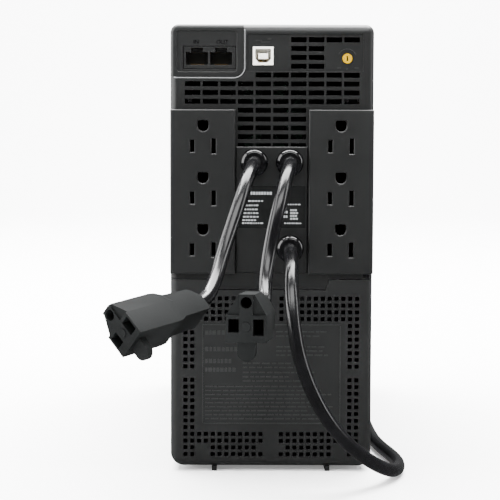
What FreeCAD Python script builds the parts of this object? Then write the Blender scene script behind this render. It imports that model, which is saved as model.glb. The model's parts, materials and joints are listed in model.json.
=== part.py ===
"""Tower uninterruptible power supply, seen from its socket side.

Millimetres. +Z is up and the floor is z = 0. The socket side looks along -Y, the
display side along +Y, and +X is to the right of somebody who faces the sockets.
The origin is on the floor, under the middle of the case.
"""
import FreeCAD, Part
import Sketcher
import math
import os
import re
from types import SimpleNamespace
from FreeCAD import Placement, Rotation, Vector

doc = FreeCAD.newDocument("tower_power_supply")

# ---------------------------------------------------------------- driving sizes
SIZES = [
    ("half_width", 60.3, "case, middle to side"),
    ("case_top", 267.2, "top of the case above the floor"),
    ("foot_high", 2.8, "height of the rubber feet"),
    ("rear_face", -161, "outer face of the rear panel"),
    ("strip_face", -165, "outer face of the socket strips"),
    ("front_face", 162.8, "outer face of the front bezel"),
    ("wall", 2.5, "thickness of every case wall"),
    ("edge_round", 4.5, "rounding round the rear panel and the door"),
    ("front_round", 4.6, "rounding round the front bezel"),
    ("top_corner", 5, "corner radius along the top of the case"),
    ("low_corner", 8, "corner radius along the bottom of the case"),
    ("rear_rim", 16, "depth of the rear panel's rim"),
    ("door_rim", 14, "depth of the battery door's rim"),
    ("front_rim", 15, "depth of the front bezel's rim"),
    ("seam", 0.4, "gap between two case parts"),
    ("door_side_top", 116, "top edge of the door at its sides"),
    ("door_mid_top", 109.7, "top edge of the door in the middle"),
    ("step_inner", 32.2, "inner end of the slanted step in the door's top"),
    ("step_outer", 34.6, "outer end of that step"),
    ("slot_long", 9.2, "upper vent slot, length"),
    ("slot_high", 3.0, "upper vent slot, height"),
    ("slot_pitch", 10.45, "upper vent slots, side to side"),
    ("slot_row", 5.2, "upper vent slots, row to row"),
    ("slot_first", 258.2, "height of the top row of slots"),
    ("hole_side", 2.5, "door vent hole, side of the square"),
    ("hole_pitch", 4.1, "door vent holes, pitch both ways"),
    ("hole_first", 104.6, "height of the door's top row of holes"),
    ("strip_in", 21.8, "inner edge of a socket strip"),
    ("strip_low", 119.7, "bottom of the socket strips"),
    ("strip_top", 217.1, "top of the socket strips"),
    ("strip_wrap", 4.5, "how far a strip wraps round the case's edge"),
    ("strip_core", 13, "depth of a strip's body behind the panel"),
    ("socket_mid", 40.8, "middle of a socket from the case's middle"),
    ("socket_top", 195.5, "height of the top socket's blade slots"),
    ("socket_pitch", 30.7, "one socket to the next"),
    ("blade_gap", 12.7, "spacing of the two blades"),
    ("ground_rise", 11.9, "ground hole above the blade slots"),
    ("slot_wide", 2.4, "width of a blade slot"),
    ("hot_high", 7.0, "height of the line slot"),
    ("neutral_high", 8.7, "height of the neutral slot"),
    ("mouth", 0.5, "bevel round a blade slot"),
    ("ground_wide", 6.3, "width of the ground hole"),
    ("pad_half", 21.3, "raised middle pad, middle to side"),
    ("pad_top", 195.2, "top edge of the middle pad"),
    ("pad_proud", 1.2, "how far the middle pad stands out"),
    ("port_right", -16.9, "right edge of the data port corner"),
    ("port_low", 236.4, "bottom edge of the data port corner"),
    ("port_deep", 1.0, "how far the data port corner lies back"),
    ("port_corner", 6, "radius of the data port corner's inner corner"),
    ("inset_deep", 0.7, "depth of the recess round the USB port and dial"),
    ("usb_mid", -5.4, "USB port, across"),
    ("usb_high", 248.7, "USB port, height"),
    ("dial_mid", 44.3, "dial, across"),
    ("dial_high", 247.3, "dial, height"),
    ("dial_radius", 2.95, "dial"),
    ("contact_deep", 4.5, "where the brass contacts begin, behind the rear panel's face"),
    ("gland_radius", 8.1, "collar of a cord gland"),
    ("gland_out", -171, "outer end of a cord gland"),
    ("pigtail_mid", 10.5, "output cord gland, across"),
    ("pigtail_high", 186, "output cord gland, height"),
    ("supply_mid", 10.8, "supply cord gland, across"),
    ("supply_high", 135, "supply cord gland, height"),
    ("cord_radius", 4, "all three cords"),
    ("shelf_low", 109.2, "underside of the shelf"),
    ("shelf_thick", 2, "thickness of the shelf"),
    ("battery_wide", 65, "battery, across"),
    ("battery_long", 151, "battery, front to back"),
    ("battery_high", 94, "battery, height"),
    ("fan_side", 48, "fan frame, side of the square"),
    ("fan_thick", 15, "fan frame, depth"),
    ("fan_high", 211.5, "fan, height of its axis"),
    ("button_radius", 9, "power button"),
    ("button_high", 226, "power button, height of its middle"),
    ("mute_radius", 4.5, "mute button"),
    ("mute_high", 166, "mute button, height of its middle"),
    ("button_gap", 0.35, "clearance round both buttons"),
    ("coil_middle", 44, "put-away coil, radius at the middle of its turns"),
    ("coil_mid_x", 26, "put-away coil, centre across"),
    ("coil_mid_y", 250, "put-away coil, centre front to back"),
]

sheet = doc.addObject("Spreadsheet::Sheet", "sizes")
for row, (alias, value, meaning) in enumerate(SIZES, start=1):
    sheet.set(f"A{row}", meaning)
    sheet.set(f"B{row}", str(value))
    sheet.setAlias(f"B{row}", alias)
doc.recompute()
S = SimpleNamespace(**{alias: float(sheet.get(alias)) for alias, value, meaning in SIZES})
AXES = ("x", "y", "z")
SIDES = (("left", -1), ("right", 1))


# ---------------------------------------------------------------- small helpers
def bind(piece, prop, text):
    """Bind one property to a formula of the sheet's names."""
    named = re.sub(r"[a-z][a-z_]+", lambda hit: "sizes." + hit.group(), str(text))
    piece.setExpression(prop, named)


def put(piece, place):
    """Bind the three coordinates of a piece's Placement."""
    for axis, text in zip(AXES, place):
        bind(piece, f"Placement.Base.{axis}", text)


def block(name, low, high):
    """A box between two corners, each given as three formulas."""
    piece = doc.addObject("Part::Box", name)
    for prop, a, b in zip(("Length", "Width", "Height"), low, high):
        bind(piece, prop, f"({b}) - ({a})")
    put(piece, low)
    return piece


def rod(name, radius, start, length, along="y"):
    """A cylinder that starts at a point and runs towards +X, +Y or +Z."""
    piece = doc.addObject("Part::Cylinder", name)
    bind(piece, "Radius", radius)
    bind(piece, "Height", length)
    turns = {"x": (Vector(0, 1, 0), 90), "y": (Vector(1, 0, 0), -90), "z": (Vector(0, 0, 1), 0)}
    piece.Placement = Placement(Vector(), Rotation(*turns[along]))
    put(piece, start)
    return piece


def group(name, pieces):
    """Several pieces held together as one object."""
    holder = doc.addObject("Part::Compound", name)
    holder.Links = pieces
    return holder


def minus(name, base, tools):
    """base with every tool cut out of it."""
    cut = doc.addObject("Part::Cut", name)
    cut.Base = base
    cut.Tool = tools[0] if len(tools) == 1 else group(name + "_tools", tools)
    return cut


def plus(name, pieces):
    """The union of several pieces."""
    union = doc.addObject("Part::MultiFuse", name)
    union.Shapes = pieces
    return union


def rounded(name, base, radius, wanted):
    """base with one radius on every edge whose middle passes the test."""
    doc.recompute()
    fillet = doc.addObject("Part::Fillet", name)
    fillet.Base = base
    chosen = []
    for row, edge in enumerate(base.Shape.Edges, start=1):
        middle = edge.valueAt((edge.FirstParameter + edge.LastParameter) / 2)
        if wanted(middle, edge):
            chosen.append((row, radius, radius))
    fillet.Edges = chosen
    return fillet


def solid(name, shape, placement=None):
    """A piece whose shape is worked out here from the sheet's sizes."""
    piece = doc.addObject("Part::Feature", name)
    piece.Shape = shape
    if placement is not None:
        piece.Placement = placement
    return piece


def near(value, target, slack=0.02):
    return abs(value - target) < slack


# ------------------------------------------------------- PartDesign helpers
def drawn(body, name, corners, y):
    """A closed outline of X and Z formulas, drawn square to Y at the formula y."""
    sketch = body.newObject("Sketcher::SketchObject", name)
    plane = next(item for item in body.Origin.OriginFeatures if item.Role == "XZ_Plane")
    sketch.AttachmentSupport = (plane, [""])
    sketch.MapMode = "FlatFace"
    bind(sketch, "AttachmentOffset.Base.z", f"-1 * ({y})")
    points = [Vector(*[number(text) for text in corner], 0) for corner in corners]
    count = len(points)
    for index, point in enumerate(points):
        sketch.addGeometry(Part.LineSegment(point, points[(index + 1) % count]), False)
    for index, corner in enumerate(corners):
        following = (index + 1) % count
        sketch.addConstraint(Sketcher.Constraint("Coincident", index, 2, following, 1))
    for index, corner in enumerate(corners):
        for kind, text in zip(("DistanceX", "DistanceY"), corner):
            row = sketch.addConstraint(Sketcher.Constraint(kind, -1, 1, index, 1, number(text)))
            bind(sketch, f"Constraints[{row}]", text)
    return sketch


def number(text):
    """A formula's value, worked out from the same names as the sheet's."""
    total = 0.0
    for sign, part in re.findall(r"([+-]?)\s*([^+-]+)", str(text)):
        value = 1.0
        for factor in part.split("*"):
            word = factor.strip()
            value *= getattr(S, word) if hasattr(S, word) else float(word)
        total += -value if sign == "-" else value
    return total


def padded(body, name, sketch, depth, kind="PartDesign::Pad"):
    """Pad or pocket a sketch towards +Y."""
    feature = body.newObject(kind, name)
    feature.Profile = sketch
    bind(feature, "Length", depth)
    feature.Reversed = kind == "PartDesign::Pad"
    doc.recompute()
    return feature


def softened(body, name, radius, wanted):
    """A PartDesign fillet on the edges of the body's last feature that pass the test."""
    doc.recompute()
    last = body.Tip
    names = []
    for row, edge in enumerate(last.Shape.Edges, start=1):
        middle = edge.valueAt((edge.FirstParameter + edge.LastParameter) / 2)
        if wanted(middle, edge):
            names.append(f"Edge{row}")
    fillet = body.newObject("PartDesign::Fillet", name)
    fillet.Base = (last, names)
    bind(fillet, "Radius", radius)
    doc.recompute()
    return fillet


# ---------------------------------------------------------------- case parts
def span(way, near_middle, far_out):
    """Low and high formulas of a stretch on the left (-1) or right (+1) of the middle."""
    if way > 0:
        return near_middle, far_out
    return f"-1 * ({far_out})", f"-1 * ({near_middle})"


def walls(name, outline, depth, near_face):
    """A body padded towards +Y from its outline, starting at near_face."""
    body = doc.addObject("PartDesign::Body", name)
    sketch = drawn(body, name + "_outline", outline, near_face)
    padded(body, name + "_pad", sketch, depth)
    return body


def hollowed(body, name, low, high, from_face, depth):
    """Pocket a body's inside out from its +Y side down to its face plate."""
    corners = [(low[0], low[1]), (high[0], low[1]), (high[0], high[1]), (low[0], high[1])]
    sketch = drawn(body, name, corners, from_face)
    pocket = body.newObject("PartDesign::Pocket", name + "_pocket")
    pocket.Profile = sketch
    bind(pocket, "Length", depth)
    doc.recompute()


def vent_slots():
    """The upper panel's slots: rows of ten, with gaps for what is mounted behind."""
    rows = {0: range(6, 10), 1: (6, 7), 2: (6, 7), 3: (6, 7), 4: range(4, 10)}
    rows.update({row: range(10) for row in (5, 6, 7)})
    rows.update({row: range(3, 7) for row in (8, 9, 10, 11, 12)})
    size = Vector(S.slot_long, S.wall + 2, S.slot_high)
    slots = []
    for row, columns in rows.items():
        for column in columns:
            x = (column - 4.5) * S.slot_pitch - S.slot_long / 2
            z = S.slot_first - row * S.slot_row - S.slot_high / 2
            low = max(z, S.pad_top + 0.1)
            corner = Vector(x, S.rear_face - 1, low)
            slots.append(Part.makeBox(size.x, size.y, z + S.slot_high - low, corner))
    return Part.makeCompound(slots)


def door_hole(column, row):
    """Whether the door has a square hole at this column and row of its grid."""
    half = column if column < 13 else 25 - column
    if row <= 3:
        return half < 12
    if row <= 10 or 12 <= row <= 19:
        return half < 2
    if row in (20, 21):
        return half < 12
    if row in (22, 23):
        return half < 2 or 4 <= half <= 10 + (row == 23)
    return False


def door_holes():
    """The door's square holes: a block along the top, two columns down each side
    and a block along the bottom that leaves the middle plain."""
    holes = []
    for row in range(24):
        for column in range(26):
            if not door_hole(column, row):
                continue
            x = (column - 12.5) * S.hole_pitch - S.hole_side / 2
            z = S.hole_first - row * S.hole_pitch - S.hole_side / 2
            corner = Vector(x, S.rear_face - 1, z)
            holes.append(Part.makeBox(S.hole_side, S.wall + 2, S.hole_side, corner))
    return Part.makeCompound(holes)


def port_inner_corner(middle, edge):
    """The lower right corner of the data port, seen square on."""
    return near(middle.z, S.port_low) and near(middle.x, S.port_right)


def rear_panel():
    """Upper rear panel: a shallow tray with its slots, sockets and ports cut out."""
    low = "door_side_top + seam"
    mid = "door_mid_top + seam"
    body = walls("rear_panel_shell", [
        ("-1 * half_width", low), ("-1 * step_outer", low), ("-1 * step_inner", mid),
        ("step_inner", mid), ("step_outer", low), ("half_width", low),
        ("half_width", "case_top"), ("-1 * half_width", "case_top")], "rear_rim", "rear_face")
    softened(body, "rear_panel_corners", "top_corner",
             lambda m, e: near(m.z, S.case_top) and near(abs(m.x), S.half_width))
    softened(body, "rear_panel_edge", "edge_round",
             lambda m, e: near(m.y, S.rear_face) and (m.z > S.case_top - S.top_corner - 1
                                                      or near(abs(m.x), S.half_width)))
    hollowed(body, "rear_panel_inside", ("-1 * half_width + wall", "door_side_top + seam + wall"),
             ("half_width - wall", "case_top - wall"), "rear_face + wall", "rear_rim")
    pad = block("middle_pad", ("-pad_half", "rear_face - pad_proud", "strip_low + 0.5"),
                ("pad_half", "rear_face + 1", "pad_top"))
    top_lip = rounded("middle_pad_soft", pad, 0.8,
                      lambda m, e: near(m.y, S.rear_face - S.pad_proud))
    shell = plus("rear_panel_solid", [body, top_lip])
    tools = [solid("rear_slots", vent_slots())]
    for side, way in SIDES:
        inner, outer = span(way, "strip_in + 2.2", "half_width - 2.2")
        tools.append(block(f"strip_opening_{side}", (inner, "rear_face - 2", "strip_low + 2.5"),
                           (outer, "rear_face + wall + 1", "strip_top - 2.5")))
        edge_in, edge_out = span(way, "half_width - wall", "half_width + 1")
        tools.append(block(f"strip_notch_{side}",
                           (edge_in, "rear_face - 2", "strip_low"),
                           (edge_out, "rear_face + strip_wrap", "strip_top")))
        tools.append(rod(f"pigtail_hole_{side}", "gland_radius - 2",
                         (f"{way} * pigtail_mid", "rear_face - 2", "pigtail_high"), "wall + 4"))
    tools.append(rod("supply_hole", "gland_radius - 2",
                     ("supply_mid", "rear_face - 2", "supply_high"), "wall + 4"))
    notch = block("port_notch_blank", ("-half_width - 1", "rear_face - 2", "port_low"),
                  ("port_right", "rear_face + 10", "case_top + 1"))
    tools.append(rounded("port_notch", notch, S.port_corner, port_inner_corner))
    tools.append(block("port_inset", (-14.9, "rear_face - 1", 239.6),
                       (53.7, "rear_face + inset_deep", 261.6)))
    tools.append(block("usb_hole", ("usb_mid - 6.15", "rear_face - 1", "usb_high - 5.55"),
                       ("usb_mid + 6.15", "rear_face + wall + 1", "usb_high + 5.55")))
    tools.append(rod("dial_hole", "dial_radius + 0.25", ("dial_mid", "rear_face - 1", "dial_high"),
                     "wall + 3"))
    return minus("rear_panel", shell, tools)


def battery_door():
    """Battery door: a shallow tray over the lower part of the rear, with square holes."""
    body = walls("battery_door_shell", [
        ("-1 * half_width", "foot_high"), ("half_width", "foot_high"),
        ("half_width", "door_side_top"), ("step_outer", "door_side_top"),
        ("step_inner", "door_mid_top"), ("-1 * step_inner", "door_mid_top"),
        ("-1 * step_outer", "door_side_top"), ("-1 * half_width", "door_side_top")],
        "door_rim", "rear_face")
    softened(body, "battery_door_corners", "low_corner",
             lambda m, e: near(m.z, S.foot_high) and near(abs(m.x), S.half_width))
    softened(body, "battery_door_edge", "edge_round",
             lambda m, e: near(m.y, S.rear_face) and (m.z < S.foot_high + S.low_corner + 1
                                                      or near(abs(m.x), S.half_width)))
    hollowed(body, "battery_door_inside", ("-1 * half_width + wall", "foot_high + wall"),
             ("half_width - wall", "door_mid_top - wall"), "rear_face + wall", "door_rim")
    return minus("battery_door", body, [solid("door_grid", door_holes())])


def case_shells():
    """The two channel-shaped shells between the rear panel and the front bezel."""
    inner = "half_width - wall"
    run = "front_face - front_rim - rear_face"
    cover = walls("top_cover_shell", [
        ("-1 * half_width", "door_side_top + seam"), ("-1 * half_width + wall", "door_side_top + seam"),
        ("-1 * half_width + wall", "case_top - wall"), (inner, "case_top - wall"),
        (inner, "door_side_top + seam"), ("half_width", "door_side_top + seam"),
        ("half_width", "case_top"), ("-1 * half_width", "case_top")],
        run + " - rear_rim - seam - seam", "rear_face + rear_rim + seam")
    softened(cover, "top_cover_corners", "top_corner",
             lambda m, e: near(m.z, S.case_top) and near(abs(m.x), S.half_width))
    vents = []
    for side, way in SIDES:
        for row in range(9):
            for start in (-118, -76, 62, 104):
                vents.append(Part.makeBox(8, 34, 3, Vector(way * S.half_width - 4, start,
                                                           150 + 9 * row)))
    cover = minus("top_cover", cover, [solid("side_slots", Part.makeCompound(vents))])
    tray = walls("base_tray_shell", [
        ("-1 * half_width", "foot_high"), ("half_width", "foot_high"),
        ("half_width", "door_side_top"), (inner, "door_side_top"), (inner, "foot_high + wall"),
        ("-1 * half_width + wall", "foot_high + wall"),
        ("-1 * half_width + wall", "door_side_top"), ("-1 * half_width", "door_side_top")],
        run + " - door_rim - seam - seam", "rear_face + door_rim + seam")
    softened(tray, "base_tray_corners", "low_corner",
             lambda m, e: near(m.z, S.foot_high) and near(abs(m.x), S.half_width))
    seats = []
    for name, x, y in SCREW_PLACES:
        seats.append(rod(name + "_hole", 1.6, (x, y, "foot_high - 1"), "wall + 2", "z"))
        seats.append(rod(name + "_seat", 3.3, (x, y, "foot_high - 1"), 2.2, "z"))
    tray = minus("base_tray", tray, seats)
    return cover, tray


SCREW_PLACES = [(f"case_screw_{x}_{y}".replace("-", "m"), x, y)
                for x in (-48, 48) for y in (-120, 120)]


def case_screws():
    """Four pan-head screws up through the tray's floor, heads sunk in their seats."""
    screws = []
    for name, x, y in SCREW_PLACES:
        head = rod(name + "_head", 2.9, (x, y, "foot_high + 0.2"), 0.95, "z")
        shank = rod(name + "_shank", 1.5, (x, y, "foot_high + 1"), 9, "z")
        cross = [block(f"{name}_cross_{tag}", (x - a, y - b, "foot_high"),
                       (x + a, y + b, "foot_high + 0.7"))
                 for tag, a, b in (("a", 1.7, 0.3), ("b", 0.3, 1.7))]
        screws.append(minus(name, plus(name + "_body", [head, shank]), cross))
    return group("case_screws", screws)


def front_bezel():
    """Front bezel: a tray with a window for the display inlay and its buttons."""
    body = walls("front_bezel_shell", [
        ("-1 * half_width", "foot_high"), ("half_width", "foot_high"),
        ("half_width", "case_top"), ("-1 * half_width", "case_top")],
        "front_rim", "front_face - front_rim")
    softened(body, "front_bezel_top", "top_corner",
             lambda m, e: near(m.z, S.case_top) and near(abs(m.x), S.half_width))
    softened(body, "front_bezel_low", "low_corner",
             lambda m, e: near(m.z, S.foot_high) and near(abs(m.x), S.half_width))
    body = rounded("front_bezel_edge", body, S.front_round, lambda m, e: near(m.y, S.front_face))
    hollow = block("front_bezel_inside",
                   ("-half_width + wall", "front_face - front_rim - 1", "foot_high + wall"),
                   ("half_width - wall", "front_face - wall - 0.5", "case_top - wall"))
    recess = block("front_bezel_recess", (-30.2, "front_face - 1.6", 151.8),
                   (30.2, "front_face + 1", 248.2))
    tools = [hollow, recess]
    tools += front_ways("bezel")
    for row in range(7):
        z = 30 + 12 * row
        tools.append(block(f"front_groove_{row}", (-46, "front_face - 1", z),
                           (46, "front_face + 1", z + 2.4)))
    return minus("front_bezel", body, tools)


LIGHT_HEIGHTS = (206, 199, 192, 185)


def front_ways(tag):
    """The ways through a front piece for the two buttons and the four lenses."""
    depth = "front_face - 9"
    ways = [rod(f"{tag}_power_way", "button_radius + button_gap", (0, depth, "button_high"), 12),
            rod(f"{tag}_mute_way", "mute_radius + button_gap", (0, depth, "mute_high"), 12)]
    for row, z in enumerate(LIGHT_HEIGHTS):
        ways.append(block(f"{tag}_light_way_{row}", (-8.2, depth, z - 2.2),
                          (8.2, "front_face + 1", z + 2.2)))
    return ways


def front_controls():
    """The display side's inlay, indicator lenses, two buttons and their board."""
    inlay = rounded("inlay_plate", block("inlay_blank", (-30, "front_face - 1.6", 152),
                                         (30, "front_face + 0.2", 248)), 4,
                    lambda m, e: near(abs(m.x), 30) and (near(m.z, 152) or near(m.z, 248)))
    lenses = [block(f"lens_{row}", (-8, "front_face - 7", z - 2), (8, "front_face + 0.4", z + 2))
              for row, z in enumerate(LIGHT_HEIGHTS)]
    pieces = {"display_inlay": minus("display_inlay", inlay, front_ways("inlay")),
              "indicator_lenses": group("indicator_lenses", lenses)}
    for name, radius, high in (("power_button", "button_radius", "button_high"),
                               ("mute_button", "mute_radius", "mute_high")):
        cap = rod(name + "_cap", radius, (0, "front_face - 8", high), 10.2)
        cap = rounded(name + "_soft", cap, 0.8, lambda m, e: near(m.y, S.front_face + 2.2))
        flange = rod(name + "_flange", radius + " + 2", (0, "front_face - 4.8", high), 1.6)
        stem = rod(name + "_stem", 1.5, (0, "front_face - 13", high), 6)
        pieces[name] = plus(name, [cap, flange, stem])
    board = block("display_board_plate", (-27, "front_face - 18.6", 156), (27, "front_face - 17", 244))
    switches = [block(f"key_switch_{index}", (-3, "front_face - 17", f"{high} - 3"),
                      (3, "front_face - 15.2", f"{high} + 3"))
                for index, high in enumerate(("button_high", "mute_high"))]
    lights = [block(f"light_{row}", (-2.5, "front_face - 17", z - 1), (2.5, "front_face - 15.6", z + 1))
              for row, z in enumerate(LIGHT_HEIGHTS)]
    pieces["display_board"] = plus("display_board", [board] + switches + lights)
    return pieces


def feet():
    """Four tapered rubber runners under the tray."""
    pieces = {}
    for side, way in SIDES:
        for end, start in (("rear", -160.5), ("front", 84)):
            name = f"foot_{end}_{side}"
            blank = block(name + "_blank", (way * 34 - 1.5, start, 0),
                          (way * 34 + 1.5, start + 60, "foot_high"))
            foot = rounded(name, blank, 0.4, lambda m, e: near(m.z, 0))
            pieces[name] = foot
    return pieces


# ------------------------------------------------------- sockets and ports
def socket_heights():
    return [f"socket_top - {row} * socket_pitch" for row in range(3)]


def funnel(name, x, z, wide, high):
    """The bevelled mouth of a blade slot: a frustum that narrows into the strip."""
    wedge = doc.addObject("Part::Wedge", name)
    bevel = S.mouth
    wedge.Ymin, wedge.Ymax = 0, bevel
    wedge.Xmin, wedge.Xmax = -wide / 2 - bevel, wide / 2 + bevel
    wedge.Zmin, wedge.Zmax = -high / 2 - bevel, high / 2 + bevel
    wedge.X2min, wedge.X2max = -wide / 2, wide / 2
    wedge.Z2min, wedge.Z2max = -high / 2, high / 2
    put(wedge, (x, "strip_face", z))
    return wedge


def outlet_strip(side, way):
    """One moulded strip of three grounded sockets, wrapped round the case's edge."""
    low, high = span(way, "strip_in", "half_width")
    blank = block(f"strip_blank_{side}", (low, "strip_face", "strip_low"),
                  (high, "rear_face + strip_wrap", "strip_top"))
    turned = rounded(f"strip_turned_{side}", blank, 1.2,
                     lambda m, e: near(m.y, S.strip_face) and near(m.x, way * S.half_width))
    face = rounded(f"strip_face_{side}", turned, 0.8, lambda m, e: near(m.y, S.strip_face))
    low, high = span(way, "strip_in - 1", "half_width - wall")
    behind = block(f"strip_behind_{side}", (low, "rear_face", "strip_low - 1"),
                   (high, "rear_face + strip_wrap + 1", "strip_top + 1"))
    skin = minus(f"strip_skin_{side}", face, [behind])
    low, high = span(way, "strip_in + 2.5", "half_width - wall")
    core = block(f"strip_core_{side}", (low, "rear_face - 1", "strip_low + 2.8"),
                 (high, "rear_face + strip_core", "strip_top - 2.8"))
    tools = []
    for row, z in enumerate(socket_heights()):
        middle = f"{way} * socket_mid"
        for pole, x, tall in (("line", f"{middle} - 0.5 * blade_gap", "hot_high"),
                              ("neutral", f"{middle} + 0.5 * blade_gap", "neutral_high")):
            tag = f"{pole}_{side}_{row}"
            tools.append(block("slot_" + tag,
                               (f"{x} - 0.5 * slot_wide", "strip_face - 1", f"{z} - 0.5 * {tall}"),
                               (f"{x} + 0.5 * slot_wide", "strip_face + 5", f"{z} + 0.5 * {tall}")))
            tools.append(funnel("mouth_" + tag, x, z, S.slot_wide, getattr(S, tall)))
            tools.append(block("cell_" + tag, (f"{x} - 2.6", "strip_face + 4.5", f"{z} - 5.2"),
                               (f"{x} + 2.6", "rear_face + strip_core + 1", f"{z} + 5.2")))
        tools += ground_way(f"{side}_{row}", middle, f"{z} + ground_rise")
    return minus(f"outlet_strip_{side}", plus(f"strip_solid_{side}", [skin, core]), tools)


def ground_way(tag, x, z):
    """The ground hole: round below, flat on top, opening into a round cell behind."""
    barrel = rod("ground_barrel_" + tag, "0.5 * ground_wide", (x, "strip_face - 1", z), 5.5)
    upper = block("ground_flat_" + tag, (f"{x} - 0.5 * ground_wide", "strip_face - 1", z),
                  (f"{x} + 0.5 * ground_wide", "strip_face + 4.5", f"{z} + 3.3"))
    cell = rod("ground_cell_" + tag, "0.5 * ground_wide + 1.1", (x, "strip_face + 4.5", z),
               "strip_core + 1")
    bevel = doc.addObject("Part::Cone", "ground_mouth_" + tag)
    bind(bevel, "Radius1", "0.5 * ground_wide + mouth")
    bind(bevel, "Radius2", "0.5 * ground_wide")
    bind(bevel, "Height", "mouth")
    bevel.Placement = Placement(Vector(), Rotation(Vector(1, 0, 0), -90))
    put(bevel, (x, "strip_face", z))
    return [barrel, upper, cell, bevel]


def contact_rail(pole, side, way):
    """One brass rail behind a strip: a back bar with spring leaves or sleeves."""
    offset = {"line": "- 0.5 * blade_gap", "neutral": "+ 0.5 * blade_gap", "ground": "+ 0"}[pole]
    x = f"{way} * socket_mid {offset}"
    back = "rear_face + strip_core"
    rise = "+ ground_rise" if pole == "ground" else "+ 0"
    last, first = f"socket_top - 2 * socket_pitch {rise}", f"socket_top {rise}"
    half = 1.8 if pole == "ground" else 2.2
    bar = block(f"{pole}_bar_{side}", (f"{x} - {half}", back, f"{last} - 4.6"),
                (f"{x} + {half}", f"{back} + 0.8", f"{first} + 4.6"))
    pieces = [bar]
    for row, z in enumerate(socket_heights()):
        z = f"{z} {rise}"
        tag = f"{pole}_{side}_{row}"
        if pole == "ground":
            outer = rod("sleeve_out_" + tag, 3.9, (x, "rear_face + contact_deep", z),
                        "strip_core - contact_deep + 0.5")
            inner = rod("sleeve_in_" + tag, 3.2, (x, "rear_face", z), "strip_core")
            pieces.append(minus("sleeve_" + tag, outer, [inner]))
            continue
        for way_out in (-1, 1):
            low, high = sorted((way_out * 1.2, way_out * 1.8))
            pieces.append(block(f"leaf_{tag}_{'ab'[way_out > 0]}",
                                (f"{x} + {low}", "rear_face + contact_deep", f"{z} - 3.2"),
                                (f"{x} + {high}", f"{back} + 0.4", f"{z} + 3.2")))
    return plus(f"{pole}_rail_{side}", pieces)


def data_port():
    """The surge-protected data port: corner bezel, twin jack block and its contacts."""
    frame = block("port_blank", ("-half_width", "rear_face + port_deep", "port_low"),
                  ("port_right", "rear_face + 10", "case_top"))
    frame = rounded("port_corner_top", frame, S.top_corner,
                    lambda m, e: near(m.z, S.case_top) and near(m.x, -S.half_width))
    frame = rounded("port_corner_low", frame, S.port_corner, port_inner_corner)
    frame = rounded("port_edge", frame, 2.4, lambda m, e: near(m.y, S.rear_face + S.port_deep)
                    and m.z > S.port_low + 0.5 and m.x < S.port_right - 0.5
                    and not (m.x > S.port_right - S.port_corner and m.z < S.port_low + S.port_corner))
    face = "rear_face + port_deep"
    panel = block("port_panel", (-56.6, f"{face} - 1", 239.2), (-20.9, f"{face} + 0.6", 263.3))
    panel = rounded("port_panel_soft", panel, 2, lambda m, e: near(abs(m.x + 38.75), 17.85)
                    and near(abs(m.z - 251.25), 12.05))
    window = block("port_window", (-52.8, f"{face} - 1", 240.7), (-21.4, "rear_face + 11", 254.4))
    bezel = minus("data_port_bezel", frame, [panel, window])
    jack = block("jack_blank", (-52.5, f"{face} + 1", 241), (-21.7, "rear_face + 18", 254.1))
    tools = []
    wires = []
    for index, (low, high) in enumerate(JACKS):
        middle = (low + high) / 2
        tools.append(block(f"jack_cavity_{index}", (low, f"{face} - 1", 243.3),
                           (high, f"{face} + 14", 250.7)))
        tools.append(block(f"jack_latch_{index}", (middle - 3.5, f"{face} - 1", 250),
                           (middle + 3.5, f"{face} + 11", 253.2)))
        for row in range(8):
            x = middle + (row - 3.5) * 1.02
            wires.append(block(f"jack_wire_{index}_{row}", (x - 0.22, f"{face} + 3.5", 243.3),
                               (x + 0.22, f"{face} + 12", 243.9)))
    return {"data_port_bezel": bezel, "data_jack_block": minus("data_jack_block", jack, tools),
            "data_jack_contacts": group("data_jack_contacts", wires)}


JACKS = ((-51, -38), (-36.7, -23.8))


def usb_port():
    """A square USB socket: outer shell, way with two clipped lower corners, and tongue."""
    shell = block("usb_blank", ("usb_mid - 6.05", "rear_face + 0.4", "usb_high - 5.4"),
                  ("usb_mid + 6.05", "rear_face + 15", "usb_high + 5.4"))
    way = block("usb_way_blank", ("usb_mid - 4.65", "rear_face - 1", "usb_high - 3.95"),
                ("usb_mid + 4.65", "rear_face + 12", "usb_high + 4.15"))
    doc.recompute()
    clipped = doc.addObject("Part::Chamfer", "usb_way")
    clipped.Base = way
    clipped.Edges = [(row, 2.1, 2.1) for row, edge in enumerate(way.Shape.Edges, start=1)
                     if near(edge.Length, 13) and near(edge.CenterOfMass.z, S.usb_high - 3.95)]
    tongue = block("usb_tongue", ("usb_mid - 2.9", "rear_face + 2", "usb_high - 1.8"),
                   ("usb_mid + 2.9", "rear_face + 12", "usb_high + 1.5"))
    return {"usb_socket_shell": minus("usb_socket_shell", shell, [clipped]), "usb_tongue": tongue}


def dial():
    """The little rotary trimmer: a slotted yellow disc turning in a housing."""
    disc = rod("dial_disc", "dial_radius", ("dial_mid", "rear_face + 0.1", "dial_high"), 2.2)
    shaft = rod("dial_shaft", 1.5, ("dial_mid", "rear_face + 2", "dial_high"), 5)
    slot = block("dial_slot", ("dial_mid - 0.4", "rear_face - 1", "dial_high - 1.4"),
                 ("dial_mid + 0.4", "rear_face + 0.9", "dial_high + 1.4"))
    housing = block("dial_housing", ("dial_mid - 4.8", "rear_face + wall + 0.1", "dial_high - 4.8"),
                    ("dial_mid + 4.8", "rear_face + wall + 6", "dial_high + 4.8"))
    bore = rod("dial_bore", 1.56, ("dial_mid", "rear_face", "dial_high"), 12)
    return {"sensitivity_dial": minus("sensitivity_dial", plus("dial_knob", [disc, shaft]), [slot]),
            "dial_body": minus("dial_body", housing, [bore])}


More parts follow.
